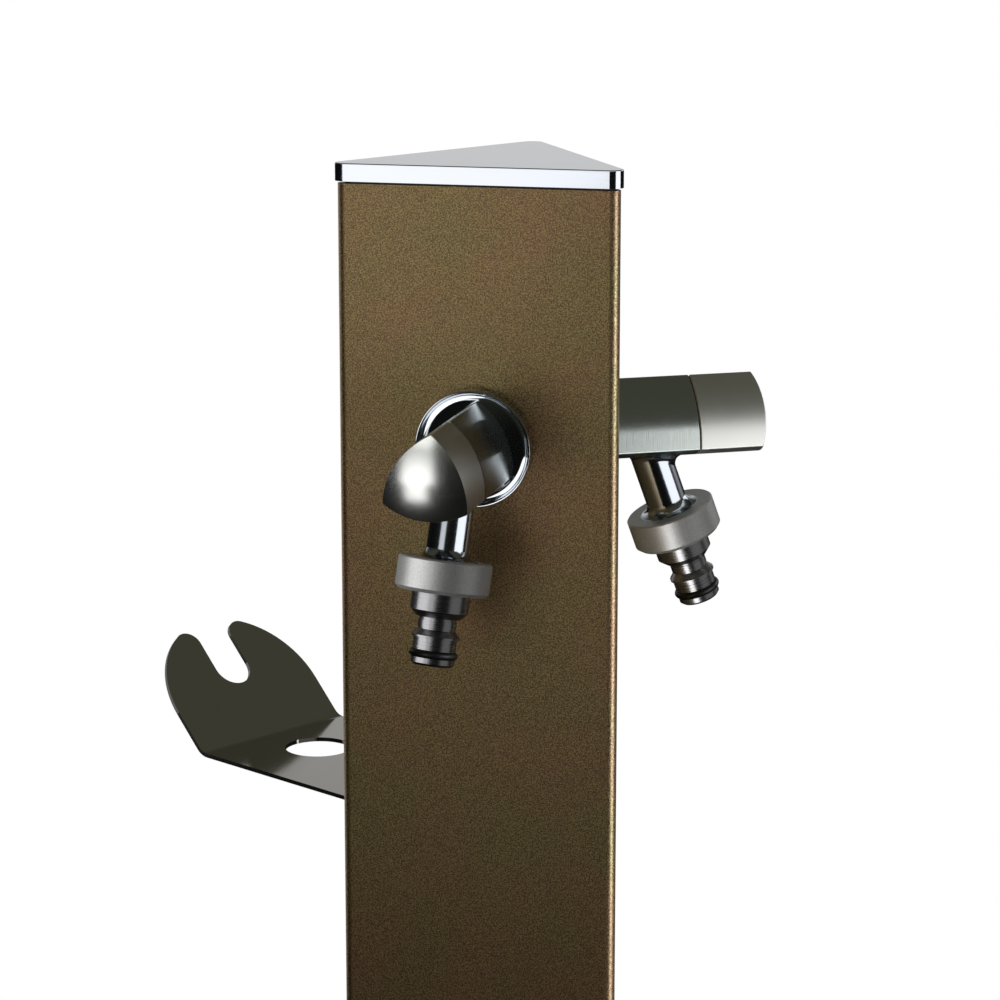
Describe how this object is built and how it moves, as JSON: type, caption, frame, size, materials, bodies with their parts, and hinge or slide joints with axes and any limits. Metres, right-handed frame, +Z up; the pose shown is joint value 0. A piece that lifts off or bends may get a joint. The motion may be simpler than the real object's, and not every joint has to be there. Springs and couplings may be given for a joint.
{
  "type": "garden standpipe",
  "caption": "Three-sided garden standpipe: powder-coated column on a floor plate, quarter-turn taps with slanted quick-connect hose outlets, and a bent sheet holder with a slotted fork.",
  "frame": {"origin": "On the floor under the column's middle axis, at the centre of the anchor circle in the floor plate's underside.", "axes": "+Z up along the column, -Y out of the column's front face along the front tap, +X to the right seen from the front. The side tap points 30 degrees from +X towards +Y, the holder 150 degrees."},
  "size_m": [0.228, 0.1927, 1],
  "materials": {
    "column_powder_coat": "bronze brown metallic powder coat, fine texture",
    "cap_polished_stainless": "polished stainless steel",
    "moulded_black_plastic": "moulded black polyamide",
    "foot_powder_coat": "bronze brown metallic powder coat",
    "zinc_plated_steel": "zinc plated steel",
    "stainless_fastener": "plain stainless steel",
    "holder_polished_stainless": "polished stainless sheet",
    "turned_brass": "turned brass",
    "cast_brass": "cast brass, machined ports",
    "copper_tube": "drawn copper tube",
    "chromed_brass": "polished chrome plate on brass",
    "black_rubber": "black nitrile rubber",
    "satin_chrome_body": "satin chrome plate on brass",
    "satin_chrome_collar": "satin chrome plate on brass",
    "turned_stainless": "turned stainless steel",
    "alumina_disc": "lapped alumina ceramic",
    "satin_chrome_knob": "satin chrome plate on brass"
  },
  "bodies": {
    "post": {"column": "column_powder_coat", "cap": "cap_polished_stainless", "cap_plug": "moulded_black_plastic", "foot_plate": "foot_powder_coat", "foot_spigot": "zinc_plated_steel", "foot_screws": "stainless_fastener", "bracket_screws": "stainless_fastener", "bracket_rivet_nuts": "zinc_plated_steel", "holder_bracket": "holder_polished_stainless", "inlet_socket": "turned_brass", "manifold": "cast_brass", "riser_nuts": "turned_brass", "riser_olives": "turned_brass", "riser_pipe": "copper_tube", "front_rose": "chromed_brass", "front_gasket": "black_rubber", "front_tap_body": "satin_chrome_body", "front_backnut": "turned_brass", "front_outlet_neck": "chromed_brass", "front_neck_washer": "black_rubber", "front_collar": "satin_chrome_collar", "front_hose_nipple": "turned_stainless", "front_nipple_ring": "black_rubber", "front_cartridge_housing": "moulded_black_plastic", "front_seat_seal": "black_rubber", "front_fixed_disc": "alumina_disc", "side_rose": "chromed_brass", "side_gasket": "black_rubber", "side_tap_body": "satin_chrome_body", "side_backnut": "turned_brass", "side_outlet_neck": "chromed_brass", "side_neck_washer": "black_rubber", "side_collar": "satin_chrome_collar", "side_hose_nipple": "turned_stainless", "side_nipple_ring": "black_rubber", "side_cartridge_housing": "moulded_black_plastic", "side_seat_seal": "black_rubber", "side_fixed_disc": "alumina_disc"},
    "front_knob": {"front_knob": "satin_chrome_knob", "front_grub_screw": "stainless_fastener", "front_spindle": "turned_brass", "front_gland_rings": "black_rubber", "front_moving_disc": "alumina_disc"},
    "side_knob": {"side_knob": "satin_chrome_knob", "side_grub_screw": "stainless_fastener", "side_spindle": "turned_brass", "side_gland_rings": "black_rubber", "side_moving_disc": "alumina_disc"}
  },
  "joints": [
    {"name": "front_knob_turn", "type": "hinge", "parent": "post", "child": "front_knob", "pos_m": [0, 0, 0.9069], "axis": [0, -1, 0], "range_deg": [0, 90]},
    {"name": "side_knob_turn", "type": "hinge", "parent": "post", "child": "side_knob", "pos_m": [0, 0, 0.9069], "axis": [0.866, 0.5, 0], "range_deg": [0, 90]}
  ]
}
